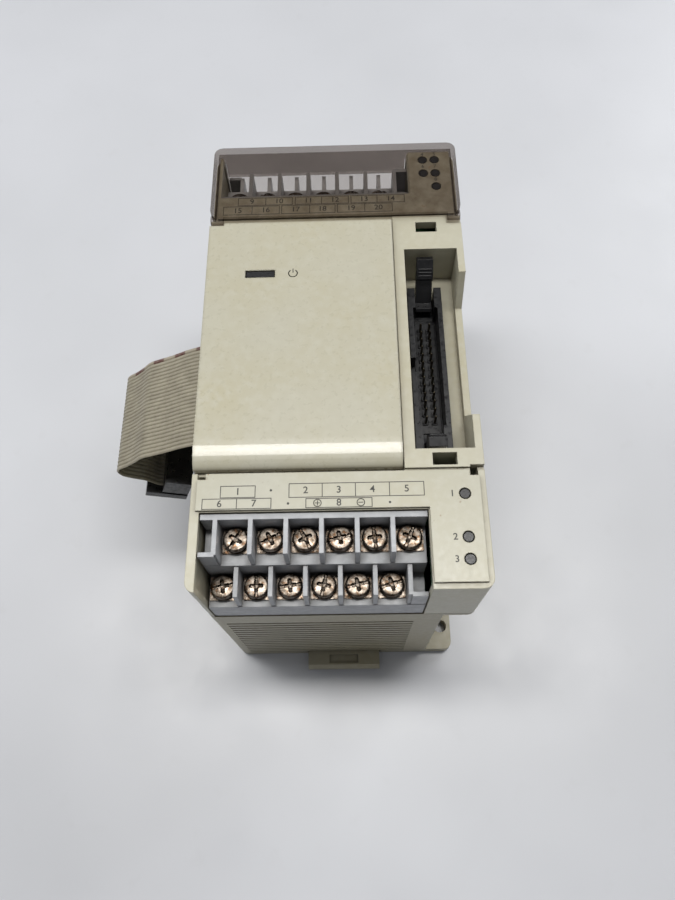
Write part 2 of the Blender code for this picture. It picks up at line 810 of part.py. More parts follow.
def in_socket(across_socket, up):
    """A place in the socket's turned frame, as (from the left side, height)."""
    turn_cos, turn_sin = math.cos(SOCKET_TURN), math.sin(SOCKET_TURN)
    return (
        SOCKET_AT[0] + across_socket * turn_cos + up * turn_sin,
        SOCKET_AT[1] - across_socket * turn_sin + up * turn_cos,
    )


def offset_line(points, distance):
    """The line a given distance to the left of a line of points."""
    moved = []
    for index, point in enumerate(points):
        before = Vector(points[max(index - 1, 0)])
        after = Vector(points[min(index + 1, len(points) - 1)])
        way = (after - before).normalized()
        moved.append((point[0] - way.y * distance, point[1] + way.x * distance))
    return moved


def make_flat_cable(material):
    route = CABLE_ROUTE + [in_socket(*point) for point in CABLE_IN_SOCKET]
    route = [(across(x), z) for x, z in route]
    outline = offset_line(route, CABLE_THICK / 2) + offset_line(route, -CABLE_THICK / 2)[::-1]
    return prism("flat_cable", material, outline, "y", span_y(*CABLE_Y))


def socket_piece(name, material, u, w, y):
    corners = [in_socket(*pair) for pair in rectangle(u, w)]
    outline = [(across(x), z) for x, z in corners]
    centre = in_socket(sum(u) / 2, sum(w) / 2)
    return prism(name, material, outline, "y", y, (across(centre[0]), sum(y) / 2, centre[1]))


def make_cable_socket(body_material, cap_material):
    clear = CABLE_THICK / 2 + GAP
    length = span_y(*SOCKET_Y)
    socket_piece("cable_socket", body_material, (0.4, 8.6), (clear, 9.6), length)
    socket_piece("cable_socket_cap", cap_material, (-4.5, 8.6), (-4.0, -clear), length)


# ---------------------------------------------------------------- inside


def make_boards(board_material, dark_material, metal_material, core_material):
    notch_x, notch_y = EAR_WIDTH + 3, EAR_LENGTH + 3
    io_outline = [
        (3, 3), (WIDTH - notch_x, 3), (WIDTH - notch_x, notch_y), (72, notch_y), (72, 137),
        (notch_x, 137), (notch_x, LENGTH - notch_y), (3, LENGTH - notch_y),
    ]
    points = [(across(x), along(y)) for x, y in io_outline]
    prism("io_board", board_material, points, "z", IO_BOARD_Z)
    logic_outline = [
        (3, 22), (61.5, 22), (61.5, 4), (72, 4), (72, 136), (61.5, 136), (61.5, 118), (3, 118),
    ]
    points = [(across(x), along(y)) for x, y in logic_outline]
    prism("logic_board", board_material, points, "z", LOGIC_BOARD_Z)
    low, high = IO_BOARD_Z[1] + GAP, LOGIC_BOARD_Z[0] - GAP
    for index, (x, y) in enumerate(POSTS):
        ring = circle(across(x), along(y), 3.0, 6)
        foot = (across(x), along(y), low)
        prism(f"board_spacer_{index + 1}", metal_material, ring, "z", (low, high), foot)
    box("board_link", dark_material, span_x(22, 48), span_y(100, 105), (low, high))
    on_logic = LOGIC_BOARD_Z[1] + GAP
    box("counter_processor", dark_material, span_x(20, 40), span_y(55, 75), (on_logic, on_logic + 3.2))
    box("cable_transition", dark_material, span_x(3.2, 9.0), span_y(44.6, 80.0), (on_logic, on_logic + 4.6))
    on_io = IO_BOARD_Z[1] + GAP
    box("input_optocouplers", dark_material, span_x(16, 60), span_y(118, 125), (on_io, on_io + 4))
    box("output_drivers", dark_material, span_x(12, 54), span_y(15, 22), (on_io, on_io + 4))
    box("supply_transformer", core_material, span_x(24, 46), span_y(44, 64), (on_io, on_io + 16))
    shade_round(
        prism(
            "supply_capacitor",
            dark_material,
            circle(across(34), along(80), 6.3, 20),
            "z",
            (on_io, on_io + 20),
            (across(34), along(80), on_io),
        )
    )


# ---------------------------------------------------------------- the whole module


def build():
    clear_scene()
    ivory = make_material("ivory_plastic", (0.68, 0.65, 0.54), 0.42)
    plate = make_material("label_plate", (0.70, 0.68, 0.57), 0.38)
    smoke = make_material("smoke_plastic", (0.10, 0.09, 0.085), 0.08, alpha=0.45)
    grey = make_material("grey_plastic", (0.42, 0.43, 0.45), 0.45)
    nickel = make_material("nickel_screw", (0.55, 0.48, 0.40), 0.28, metallic=1.0)
    black = make_material("black_plastic", (0.02, 0.02, 0.022), 0.35)
    steel = make_material("spring_steel", (0.5, 0.5, 0.5), 0.3, metallic=1.0)
    ribbon = make_material("cable_sheath", (0.42, 0.39, 0.32), 0.5)
    board = make_material("circuit_board", (0.05, 0.16, 0.09), 0.5)
    brass = make_material("brass_spacer", (0.70, 0.52, 0.24), 0.3, metallic=1.0)
    ferrite = make_material("ferrite_core", (0.08, 0.08, 0.085), 0.6)
    clear = make_material("light_guide", (0.05, 0.05, 0.055), 0.3)

    make_rear_case(ivory)
    make_front_housing(ivory)
    make_centre_panel(ivory)
    make_label_plates(plate)
    make_light_guides(clear)
    make_terminal_cover(smoke)
    for end, far_end in (("lower", False), ("upper", True)):
        make_terminal_block(f"{end}_terminal_block", grey, far_end)
        for row, number, x, y, floor in terminal_rows():
            make_terminal_screw(f"{end}_{row}_screw_{number}", nickel, x, y, floor, far_end)
    make_bus_header(black)
    for name, (pivot_y, outward, lean) in LATCH_SIDES.items():
        make_ejector_latch(name, black, pivot_y, outward, lean)
    make_rail_latch(ivory)
    make_latch_spring(steel)
    make_flat_cable(ribbon)
    make_cable_socket(black, black)
    make_boards(board, black, brass, ferrite)


build()
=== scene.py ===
"""The looks of the controller extension module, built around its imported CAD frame.

Everything is in metres, in the CAD's own frame: +Z is the front face, +Y the upper terminal end.
"""

import json
import math
import random

import bmesh
import bpy
from mathutils import Matrix, Vector


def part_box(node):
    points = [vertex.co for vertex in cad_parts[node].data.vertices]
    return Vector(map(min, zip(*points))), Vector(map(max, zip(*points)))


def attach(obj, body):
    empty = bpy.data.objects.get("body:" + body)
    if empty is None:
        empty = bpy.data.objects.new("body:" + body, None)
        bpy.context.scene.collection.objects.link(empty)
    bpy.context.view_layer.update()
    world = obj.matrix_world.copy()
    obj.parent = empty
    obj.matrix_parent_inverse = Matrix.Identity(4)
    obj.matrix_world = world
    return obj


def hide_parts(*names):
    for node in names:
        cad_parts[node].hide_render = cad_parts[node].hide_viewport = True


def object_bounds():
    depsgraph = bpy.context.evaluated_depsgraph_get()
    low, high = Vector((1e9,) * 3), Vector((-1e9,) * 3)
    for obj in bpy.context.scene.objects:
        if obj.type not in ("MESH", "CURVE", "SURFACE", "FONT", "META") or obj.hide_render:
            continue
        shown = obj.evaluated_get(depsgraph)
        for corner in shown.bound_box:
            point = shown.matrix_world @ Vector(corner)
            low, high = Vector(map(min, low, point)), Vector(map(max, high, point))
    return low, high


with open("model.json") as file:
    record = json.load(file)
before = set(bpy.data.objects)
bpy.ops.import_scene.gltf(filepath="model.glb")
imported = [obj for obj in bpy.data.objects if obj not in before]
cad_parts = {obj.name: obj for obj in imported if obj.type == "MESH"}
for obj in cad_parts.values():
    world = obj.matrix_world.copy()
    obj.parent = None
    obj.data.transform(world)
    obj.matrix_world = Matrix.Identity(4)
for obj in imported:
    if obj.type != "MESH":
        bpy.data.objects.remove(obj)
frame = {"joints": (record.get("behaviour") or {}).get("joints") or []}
CAD_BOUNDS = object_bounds()

MM = 0.001
rng = random.Random(7)


def node_box(node):
    """The two opposite corners of a CAD node's box."""
    low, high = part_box(node)
    return Vector(low), Vector(high)


# The housing's left side and lower end, from which the CAD's own sizes are counted
HOUSING_LOW, HOUSING_HIGH = node_box("front_housing")


def spot(from_left, from_lower_end, z):
    """A point by its distances in millimetres from the housing's left side and lower end."""
    return Vector((HOUSING_LOW.x + from_left * MM, HOUSING_LOW.y + from_lower_end * MM, z * MM))


# ---------------------------------------------------------------- camera and light

CAMERA_LENS = 29.355  # millimetres
CAMERA_PLACE = (0.003646, -0.107326, 0.271589)
CAMERA_TURN = (23.861, 1.454, -0.55)  # degrees
WARM_LIGHT = (1.0, 0.985, 0.955)
COOL_LIGHT = (0.96, 0.98, 1.0)
SKY_COLOUR = (0.93, 0.95, 1.0, 1)
SKY_STRENGTH = 0.21


def make_camera():
    """The camera in front of the module's lower end, looking down on its front face."""
    data = bpy.data.cameras.new("camera")
    data.lens = CAMERA_LENS
    data.clip_start = 0.01
    camera = bpy.data.objects.new("camera", data)
    camera.location = CAMERA_PLACE
    camera.rotation_euler = [math.radians(angle) for angle in CAMERA_TURN]
    bpy.context.scene.collection.objects.link(camera)
    bpy.context.scene.camera = camera


def add_light(name, place, aim, power, size, colour):
    """A rectangular soft light at a place, turned towards the point it aims at."""
    data = bpy.data.lights.new(name, "AREA")
    data.energy = power
    data.color = colour
    data.shape = "RECTANGLE"
    data.size, data.size_y = size
    light = bpy.data.objects.new(name, data)
    light.location = place
    light.rotation_euler = (Vector(aim) - Vector(place)).to_track_quat("-Z", "Y").to_euler()
    bpy.context.scene.collection.objects.link(light)


def make_lights():
    """An even sky, a long light overhead, and two weaker ones behind, to the right and the left."""
    world = bpy.data.worlds.new("studio")
    bpy.context.scene.world = world
    world.use_nodes = True
    sky = world.node_tree.nodes["Background"]
    sky.inputs["Color"].default_value = SKY_COLOUR
    sky.inputs["Strength"].default_value = SKY_STRENGTH
    add_light("ceiling", (0.0, 0.10, 1.0), (0, 0, 0.05), 7.2, (0.80, 0.14), WARM_LIGHT)
    add_light("room", (0.75, 0.70, 0.6), (0, 0, 0.03), 4.6, (0.6, 0.6), COOL_LIGHT)
    add_light("window", (-0.85, 0.35, 0.6), (0, 0, 0.03), 3.0, (0.6, 0.5), COOL_LIGHT)
    bpy.context.scene.view_settings.view_transform = "Standard"


# ---------------------------------------------------------------- materials

RUST = (0.22, 0.11, 0.045)
NOISE_ROUGHNESS = 0.55


class Surface:
    """A material being put together: its Principled shader and short ways to add nodes to it."""

    def __init__(self, name, roughness, metallic=0.0, **inputs):
        self.material = bpy.data.materials.new(name)
        self.material.use_nodes = True
        self.tree = self.material.node_tree
        self.shader = self.tree.nodes["Principled BSDF"]
        self.shader.inputs["Roughness"].default_value = roughness
        self.shader.inputs["Metallic"].default_value = metallic
        for key, value in inputs.items():
            self.shader.inputs[key.replace("_", " ")].default_value = value
        self.place = self.add("ShaderNodeTexCoord").outputs["Object"]

    def add(self, kind, **settings):
        node = self.tree.nodes.new(kind)
        for key, value in settings.items():
            setattr(node, key, value)
        return node

    def join(self, output, socket):
        self.tree.links.new(output, socket)

    def put(self, value, socket):
        """Links a socket's output, or sets a plain value."""
        if isinstance(value, bpy.types.NodeSocket):
            self.join(value, socket)
        elif isinstance(value, tuple) and len(value) == 3 and socket.type == "RGBA":
            socket.default_value = (*value, 1)
        else:
            socket.default_value = value

    def stretch(self, scale):
        node = self.add("ShaderNodeMapping")
        node.inputs["Scale"].default_value = scale
        self.join(self.place, node.inputs["Vector"])
        return node.outputs["Vector"]

    def noise(self, size, detail=3.0, place=None):
        """Noise whose features are about this many millimetres across."""
        node = self.add("ShaderNodeTexNoise")
        node.inputs["Scale"].default_value = 1 / (size * MM)
        node.inputs["Detail"].default_value = detail
        node.inputs["Roughness"].default_value = NOISE_ROUGHNESS
        self.join(place or self.place, node.inputs["Vector"])
        return node.outputs["Fac"]

    def spots(self, size, low, high):
        """1 in round spots around random points this many millimetres apart, 0 between them."""
        node = self.add("ShaderNodeTexVoronoi")
        node.inputs["Scale"].default_value = 1 / (size * MM)
        self.join(self.place, node.inputs["Vector"])
        return self.span(node.outputs["Distance"], low, high, 1.0, 0.0)

    def span(self, value, low, high, new_low=0.0, new_high=1.0):
        """Maps a value's range onto another one, and stays inside it."""
        node = self.add("ShaderNodeMapRange")
        node.inputs["From Min"].default_value = low
        node.inputs["From Max"].default_value = high
        node.inputs["To Min"].default_value = new_low
        node.inputs["To Max"].default_value = new_high
        self.join(value, node.inputs["Value"])
        return node.outputs["Result"]

    def mix(self, factor, first, second):
        node = self.add("ShaderNodeMix", data_type="RGBA")
        self.put(factor, node.inputs["Factor"])
        self.put(first, node.inputs["A"])
        self.put(second, node.inputs["B"])
        return node.outputs[2]  # the colour result

    def maths(self, operation, first, second):
        node = self.add("ShaderNodeMath", operation=operation)
        self.put(first, node.inputs[0])
        self.put(second, node.inputs[1])
        return node.outputs["Value"]

    def crevices(self, reach):
        """1 in corners and grooves, 0 on open faces."""
        node = self.add("ShaderNodeAmbientOcclusion", samples=4)
        node.inputs["Distance"].default_value = reach * MM
        return self.span(node.outputs["AO"], 0.35, 0.95, 1.0, 0.0)

    def bump(self, height, depth, before=None, strength=1.0):
        node = self.add("ShaderNodeBump")
        node.inputs["Strength"].default_value = strength
        node.inputs["Distance"].default_value = depth * MM
        self.join(height, node.inputs["Height"])
        if before is not None:
            self.join(before, node.inputs["Normal"])
        return node.outputs["Normal"]

    def rounded(self, radius):
        """Normals as if every edge had this radius, in millimetres."""
        node = self.add("ShaderNodeBevel", samples=4)
        node.inputs["Radius"].default_value = radius * MM
        return node.outputs["Normal"]

    def finish(self, colour, roughness=None, normal=None):
        self.put(colour, self.shader.inputs["Base Color"])
        if roughness is not None:
            self.join(roughness, self.shader.inputs["Roughness"])
        if normal is not None:
            self.join(normal, self.shader.inputs["Normal"])
        return self.material


def moulded_plastic(name, colour, dirt, roughness, grain=0.012, rust=0.0, edge=0.35, coat=0.0):
    """Spark-textured plastic: fine grain, faint yellowing, painted shade in recesses, dirt and painted
    shade in the corners, specks and scuffs.
    """
    surface = Surface(name, roughness, Coat_Weight=coat, Coat_Roughness=0.2)
    yellow = tuple(c * f for c, f in zip(colour, (0.97, 0.94, 0.84)))
    pale = tuple(min(1.0, c * 1.05) for c in colour)
    base = surface.mix(surface.span(surface.noise(34, 2), 0.35, 0.7), colour, yellow)
    base = surface.mix(surface.span(surface.noise(2.4, 4), 0.45, 0.75), base, pale)
    points = surface.spots(9.0, 0.012, 0.026)
    specks = surface.maths("MULTIPLY", points, surface.span(surface.noise(14), 0.52, 0.6))
    base = surface.mix(surface.maths("MULTIPLY", specks, 0.6), base, dirt)
    # Painted shade: recesses and the faces round them darkened towards a shaded copy of the colour.
    shade = tuple(c * f for c, f in zip(colour, (0.50, 0.47, 0.42)))
    base = surface.mix(surface.maths("MULTIPLY", surface.crevices(9.0), 0.3), base, shade)
    # Corners and grooves darkened towards the dirt colour: partly dirt, partly painted shade.
    corners = surface.crevices(1.6)
    grime_and_shade = surface.maths("MULTIPLY", corners, surface.span(surface.noise(3.2), 0.3, 0.7, 0.25, 0.75))
    base = surface.mix(grime_and_shade, base, dirt)
    if rust:
        pits = surface.spots(1.1, 0.10, 0.32)
        blots = surface.maths("MULTIPLY", pits, surface.span(surface.noise(6), 0.62, 0.70))
        base = surface.mix(surface.maths("MULTIPLY", blots, rust), base, RUST)
    rough = surface.span(surface.noise(1.4, 4), 0.3, 0.7, roughness - 0.06, roughness + 0.08)
    grain_normal = surface.bump(surface.noise(0.16, 2), grain, surface.rounded(edge), 0.6)
    wave = surface.bump(surface.noise(14, 1), 0.05, grain_normal, 0.35)
    return surface.finish(base, rough, wave)


def grey_moulding(name):
    """Grey terminal block plastic with pale scuffs, and dirt and painted shade in its corners."""
    surface = Surface(name, 0.42)
    mottle = surface.span(surface.noise(6, 3), 0.35, 0.7)
    base = surface.mix(mottle, (0.42, 0.43, 0.445), (0.34, 0.35, 0.365))
    scuffs = surface.span(surface.noise(1.2, 5, surface.stretch((0.4, 1.0, 2.4))), 0.58, 0.72)
    base = surface.mix(surface.maths("MULTIPLY", scuffs, 0.5), base, (0.52, 0.53, 0.55))
    # Painted shade with some dirt: corners and creases darkened nearly to black.
    grime_and_shade = surface.maths("MULTIPLY", surface.crevices(2.2), 0.8)
    base = surface.mix(grime_and_shade, base, (0.085, 0.075, 0.065))
    rough = surface.span(surface.noise(1.5, 3), 0.3, 0.7, 0.34, 0.52)
    grain = surface.bump(surface.noise(0.2, 2), 0.012, surface.rounded(0.3), 0.6)
    return surface.finish(base, rough, grain)


def black_moulding(name, roughness=0.32):
    """Near-black plastic with a film of dust."""
    surface = Surface(name, roughness)
    mottle = surface.span(surface.noise(3, 3), 0.4, 0.7)
    base = surface.mix(mottle, (0.0035, 0.0035, 0.0045), (0.009, 0.009, 0.010))
    dust = surface.span(surface.noise(0.7, 5), 0.62, 0.78)
    base = surface.mix(surface.maths("MULTIPLY", dust, 0.3), base, (0.06, 0.055, 0.05))
    rough = surface.span(surface.noise(1.1, 3), 0.3, 0.7, roughness - 0.08, roughness + 0.16)
    grain = surface.bump(surface.noise(0.22, 2), 0.010, surface.rounded(0.2), 0.5)
    return surface.finish(base, rough, grain)


def tarnished_metal(name, bright, dull, roughness, rust):
    """Plated steel that has gone brown in places, with fine brushed scratches, and dirt and painted shade
    in its recesses.
    """
    surface = Surface(name, roughness, 1.0)
    base = surface.mix(surface.span(surface.noise(1.6, 4), 0.38, 0.62), bright, dull)
    stains = surface.span(surface.noise(0.8, 5), 0.56, 0.68)
    base = surface.mix(surface.maths("MULTIPLY", stains, rust), base, (0.16, 0.075, 0.035))
    # Painted shade with some dirt: recesses such as the screw's cross darkened nearly to black.
    grime_and_shade = surface.maths("MULTIPLY", surface.crevices(1.0), 0.92)
    base = surface.mix(grime_and_shade, base, (0.020, 0.014, 0.010))
    rough = surface.span(surface.noise(0.9, 4), 0.35, 0.7, roughness - 0.06, roughness + 0.22)
    scratches = surface.noise(0.12, 2, surface.stretch((1.0, 0.12, 1.0)))
    return surface.finish(base, rough, surface.bump(scratches, 0.008, None, 0.5))


def smoke_clear(name):
    """Smoke-tinted clear moulding: light passes with a brown-grey tint, and the surface is glossy."""
    surface = Surface(name, 0.06)
    tree = surface.tree
    tree.nodes.remove(surface.shader)
    clear = surface.add("ShaderNodeBsdfTransparent")
    mottle = surface.span(surface.noise(24, 2), 0.3, 0.7)
    tint = surface.mix(mottle, (0.80, 0.775, 0.755), (0.85, 0.825, 0.805))
    side_on = surface.add("ShaderNodeSeparateXYZ")
    surface.join(surface.add("ShaderNodeTexCoord").outputs["Normal"], side_on.inputs["Vector"])
    level = surface.maths("ABSOLUTE", side_on.outputs["Z"], 0.0)
    tint = surface.mix(surface.span(level, 0.3, 0.8), (0.56, 0.53, 0.51), tint)
    surface.join(tint, clear.inputs["Color"])
    gloss = surface.add("ShaderNodeBsdfPrincipled")
    gloss.inputs["Base Color"].default_value = (0.05, 0.045, 0.045, 1)
    smears = surface.span(surface.noise(5, 5), 0.4, 0.75, 0.05, 0.26)
    surface.join(smears, gloss.inputs["Roughness"])
    slant = surface.add("ShaderNodeLayerWeight").outputs["Facing"]
    glancing = surface.maths("MULTIPLY", surface.maths("POWER", slant, 3.0), 0.6)
    dust = surface.span(surface.noise(0.5, 6), 0.62, 0.80, 0.045, 0.085)
    share = surface.maths("ADD", glancing, dust)
    scratches = surface.bump(surface.noise(0.5, 4, surface.stretch((1.0, 0.2, 1.0))), 0.004, None, 0.3)
    surface.join(scratches, gloss.inputs["Normal"])
    blend = surface.add("ShaderNodeMixShader")
    surface.join(share, blend.inputs["Fac"])
    surface.join(clear.outputs["BSDF"], blend.inputs[1])
    surface.join(gloss.outputs["BSDF"], blend.inputs[2])
    surface.join(blend.outputs["Shader"], tree.nodes["Material Output"].inputs["Surface"])
    return surface.material


def cable_sheath(name, colour, shade):
    """The flat cable's dull sheath, a little dirty."""
    surface = Surface(name, 0.48)
    base = surface.mix(surface.span(surface.noise(4, 3), 0.35, 0.7), colour, shade)
    dirt = surface.span(surface.noise(1.0, 5), 0.58, 0.75)
    base = surface.mix(surface.maths("MULTIPLY", dirt, 0.35), base, tuple(c * 0.5 for c in shade))
    rough = surface.span(surface.noise(1.2, 3), 0.3, 0.7, 0.40, 0.58)
    return surface.finish(base, rough, surface.bump(surface.noise(0.3, 3), 0.02, None, 0.5))


def dashed_sheath(name, colour, mark):
    """The marked edge conductor: printed dashes every few millimetres along its length."""
    surface = Surface(name, 0.48)
    dashes = surface.add("ShaderNodeTexWave", wave_type="BANDS", bands_direction="X")
    dashes.inputs["Scale"].default_value = 42
    dashes.inputs["Distortion"].default_value = 0.6
    surface.join(surface.place, dashes.inputs["Vector"])
    printed = surface.span(dashes.outputs["Fac"], 0.45, 0.6)
    worn = surface.maths("MULTIPLY", printed, surface.span(surface.noise(0.8, 4), 0.3, 0.6, 0.5, 1.0))
    base = surface.mix(worn, colour, mark)
    rough = surface.span(surface.noise(1.2, 3), 0.3, 0.7, 0.40, 0.58)
    return surface.finish(base, rough, surface.bump(surface.noise(0.3, 3), 0.02, None, 0.5))


def circuit_laminate(name):
    """Solder mask with tracks that show through as slightly lighter lines."""
    surface = Surface(name, 0.35)
    tracks = surface.add("ShaderNodeTexBrick", offset=0.5)
    tracks.inputs["Scale"].default_value = 220
    tracks.inputs["Mortar Size"].default_value = 0.03
    surface.join(surface.place, tracks.inputs["Vector"])
    base = surface.mix(tracks.outputs["Fac"], (0.018, 0.075, 0.035), (0.05, 0.16, 0.07))
    pads = surface.spots(2.54, 0.10, 0.14)
    base = surface.mix(pads, base, (0.55, 0.52, 0.42))
    rough = surface.span(surface.noise(2), 0.3, 0.7, 0.28, 0.45)
    return surface.finish(base, rough, surface.bump(pads, 0.03))


def printed_ink(name):
    """Dark ink, worn paler in small patches."""
    surface = Surface(name, 0.55)
    worn = surface.span(surface.noise(0.25, 3), 0.45, 0.7)
    base = surface.mix(worn, (0.035, 0.035, 0.032), (0.10, 0.095, 0.085))
    return surface.finish(base, surface.span(surface.noise(0.6), 0.3, 0.7, 0.45, 0.65))


def lamp_lens(name):
    """An unlit lamp's dark lens."""
    surface = Surface(name, 0.3)
    mottle = surface.span(surface.noise(0.5, 3), 0.4, 0.7)
    base = surface.mix(mottle, (0.010, 0.010, 0.011), (0.026, 0.026, 0.028))
    rough = surface.span(surface.noise(0.4), 0.3, 0.7, 0.25, 0.45)
    return surface.finish(base, rough, surface.bump(surface.noise(0.3, 2), 0.01, surface.rounded(0.15)))


def table_top():
    """A plain pale table top, faintly mottled and worn."""
    surface = Surface("table_top", 0.35)
    mottle = surface.span(surface.noise(160, 3), 0.35, 0.7)
    base = surface.mix(mottle, (0.62, 0.63, 0.66), (0.57, 0.58, 0.605))
    worn = surface.span(surface.noise(9, 6), 0.60, 0.80, 0.0, 0.20)
    base = surface.mix(worn, base, (0.52, 0.52, 0.535))
    rough = surface.span(surface.noise(30, 4), 0.3, 0.7, 0.28, 0.44)
    return surface.finish(base, rough, surface.bump(surface.noise(40, 2), 0.1, None, 0.3))


# ---------------------------------------------------------------- making pieces


SHARP_ANGLE = 34
SCREW_SHARP_ANGLE = 38


def make_mesh(name, data, material, sharp_angle=None):
    """A mesh from a bmesh, which is used up. It is smooth up to this angle in degrees, or flat."""
    bmesh.ops.recalc_face_normals(data, faces=data.faces)
    mesh = bpy.data.meshes.new(name)
    data.to_mesh(mesh)
    data.free()
    mesh.materials.append(material)
    if sharp_angle:
        mesh.shade_smooth()
        mesh.set_sharp_from_angle(angle=math.radians(sharp_angle))
    return mesh


def link_piece(name, shape, body="housing", replaces=()):
    """A piece of the object from a mesh or curve in world metres, riding on a body of the frame."""
    piece = bpy.data.objects.new(name, shape)
    bpy.context.scene.collection.objects.link(piece)
    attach(piece, body)
    if replaces:
        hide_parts(*replaces)
    return piece


def add_piece(name, data, material, body="housing", smooth=True, replaces=()):
    """A piece of the object from a bmesh in world metres."""
    mesh = make_mesh(name, data, material, SHARP_ANGLE if smooth else None)
    return link_piece(name, mesh, body, replaces)


def add_block(data, low, high, edge=0.0):
    """A box between two corners in a bmesh, its edges rounded by this many metres."""
    middle = (Vector(low) + Vector(high)) / 2
    size = Vector(high) - Vector(low)
    place = Matrix.Translation(middle) @ Matrix.Diagonal((*size, 1))
    made = bmesh.ops.create_cube(data, size=1, matrix=place)["verts"]
    if edge:
        edges = {e for vertex in made for e in vertex.link_edges}
        bmesh.ops.bevel(data, geom=list(edges), offset=edge, segments=2, affect="EDGES", clamp_overlap=True)


def surface_rings(data, rings):
    """Skins a list of rings of points, each joined to the next, and closes both ends."""
    loops = [[data.verts.new(point) for point in ring] for ring in rings]
    count = len(loops[0])
    for one, two in zip(loops, loops[1:]):
        for index in range(count):
            after = (index + 1) % count
            data.faces.new((one[index], one[after], two[after], two[index]))
    data.faces.new(loops[0][::-1])
    data.faces.new(loops[-1])


def finish_nodes(material, *nodes):
    """Gives CAD nodes their material."""
    for node in nodes:
        thing = bpy.data.objects[node]
        thing.data.materials.clear()
        thing.data.materials.append(material)


# ---------------------------------------------------------------- terminal screws

# In millimetres. Heights count from SCREW_BASE below the top of the CAD screw.
SCREW_BASE = 3.7
HEAD_RADIUS = 3.3
HEAD_TOP = 3.0
TURNED_ABOVE = 1.35
DOME_RISE = 0.55
DOME_ROUNDNESS = 0.75
CROSS_REACH = 1.9
CROSS_HALF_WIDTH = 0.64
CROSS_TAPER = 0.13
CROSS_DEPTH = 1.25
CROSS_END_SLOPE = 0.35
SLOT_HALF_WIDTH = 0.40
SLOT_DEPTH = 0.62
RECESS_WALL = 0.12
RIM_WIDTH = 0.45
RIM_DROP = 0.30


def screw_height(x, y):
    """Height of a pan head's top at a point: a low dome with a cross recess and a driver slot."""
    distance = math.hypot(x, y)
    fullness = max(0.0, 1 - (distance / HEAD_RADIUS) ** 2 * DOME_ROUNDNESS)
    dome = DOME_RISE * math.sqrt(fullness) - DOME_RISE / 2
    depth = 0.0
    for along, side in ((x, y), (y, x)):
        if abs(along) < CROSS_REACH:
            width = CROSS_HALF_WIDTH - CROSS_TAPER * abs(along)
            edge = min(1.0, max(0.0, (width - abs(side)) / RECESS_WALL))
            end = min(1.0, (CROSS_REACH - abs(along)) / CROSS_END_SLOPE)
            depth = max(depth, CROSS_DEPTH * edge * end * (1 - 0.35 * abs(along) / CROSS_REACH))
    slot_edge = min(1.0, max(0.0, (SLOT_HALF_WIDTH - abs(y)) / RECESS_WALL))
    depth = max(depth, SLOT_DEPTH * slot_edge)
    return dome - depth


def screw_ring(radius, z, sides):
    """A level ring of points round the screw's axis, from millimetres."""
    angles = [2 * math.pi * side / sides for side in range(sides)]
    return [Vector((radius * math.cos(angle), radius * math.sin(angle), z)) * MM for angle in angles]


def screw_top_ring(radius, sides):
    """A ring of points on the pan head's top, which is rounded off at its rim."""
    rim_drop = RIM_DROP * max(0.0, (radius - HEAD_RADIUS + RIM_WIDTH) / RIM_WIDTH) ** 2
    ring = screw_ring(radius, 0, sides)
    for point in ring:
        height = HEAD_TOP + screw_height(point.x / MM, point.y / MM) - rim_drop
        point.z = height * MM
    return ring


def make_screw_mesh(name, material):
    """One terminal screw with its washer and square clamp plate, round its own axis."""
    data = bmesh.new()
    head_sides = 56
    washer_sides = 32
    top_rings = 22
    skirt = [(1.7, 1.0), (HEAD_RADIUS - 0.25, 1.0), (HEAD_RADIUS - 0.02, 1.25), (HEAD_RADIUS, 2.2)]
    rings = [screw_ring(radius, z, head_sides) for radius, z in skirt]
    for ring in range(top_rings, 0, -1):
        rings.append(screw_top_ring(HEAD_RADIUS * ring / top_rings, head_sides))
    surface_rings(data, rings)
    add_block(data, (-3.6 * MM, -3.2 * MM, 0.3 * MM), (3.6 * MM, 3.2 * MM, 1.1 * MM), 0.18 * MM)
    washer = [(1.5, 1.08), (3.42, 1.08), (3.46, 1.2), (3.42, 1.32), (1.5, 1.32)]
    surface_rings(data, [screw_ring(radius, z, washer_sides) for radius, z in washer])
    return make_mesh(name, data, material, SCREW_SHARP_ANGLE)


def make_screws(material):
    """A detailed screw for each CAD screw, its recess turned its own way but its plate square."""
    screw_mesh = make_screw_mesh("terminal_screw", material)
    for end in ("lower", "upper"):
        for row in ("inner", "outer"):
            for number in range(1, 7):
                place_screw(screw_mesh, f"{end}_{row}_screw_{number}")


def place_screw(screw_mesh, node):
    """A copy of the screw's mesh at a CAD screw's place, turned above the washer only."""
    low, high = node_box(node)
    mesh = screw_mesh.copy()
    turn = rng.uniform(0, math.pi)
    base = Vector(((low.x + high.x) / 2, (low.y + high.y) / 2, high.z - SCREW_BASE * MM))
    for vertex in mesh.vertices:
        point = vertex.co.copy()
        if point.z > TURNED_ABOVE * MM:
            point.rotate(Matrix.Rotation(turn, 3, "Z"))
        vertex.co = point + base
    mesh.name = f"{node}_detail"
    link_piece(mesh.name, mesh, replaces=(node,))


# ---------------------------------------------------------------- printed frames and numbers

INK_RISE = 0.02 * MM
LINE_WIDTH = 0.20 * MM


def add_line(data, start, end, width, z):
    """A thin printed line between two points of the face."""
    start, end = Vector((*start, 0)), Vector((*end, 0))
    way = (end - start).normalized()
    side = Vector((-way.y, way.x, 0)) * width / 2
    reach = way * width / 2
    corners = [start - reach - side, end + reach - side, end + reach + side, start - reach + side]
    top = [data.verts.new((c.x, c.y, z + INK_RISE)) for c in corners]
    bottom = [data.verts.new((c.x, c.y, z - INK_RISE)) for c in corners]
    data.faces.new(top)
    data.faces.new(bottom[::-1])
    for index in range(4):
        after = (index + 1) % 4
        data.faces.new((bottom[index], bottom[after], top[after], top[index]))


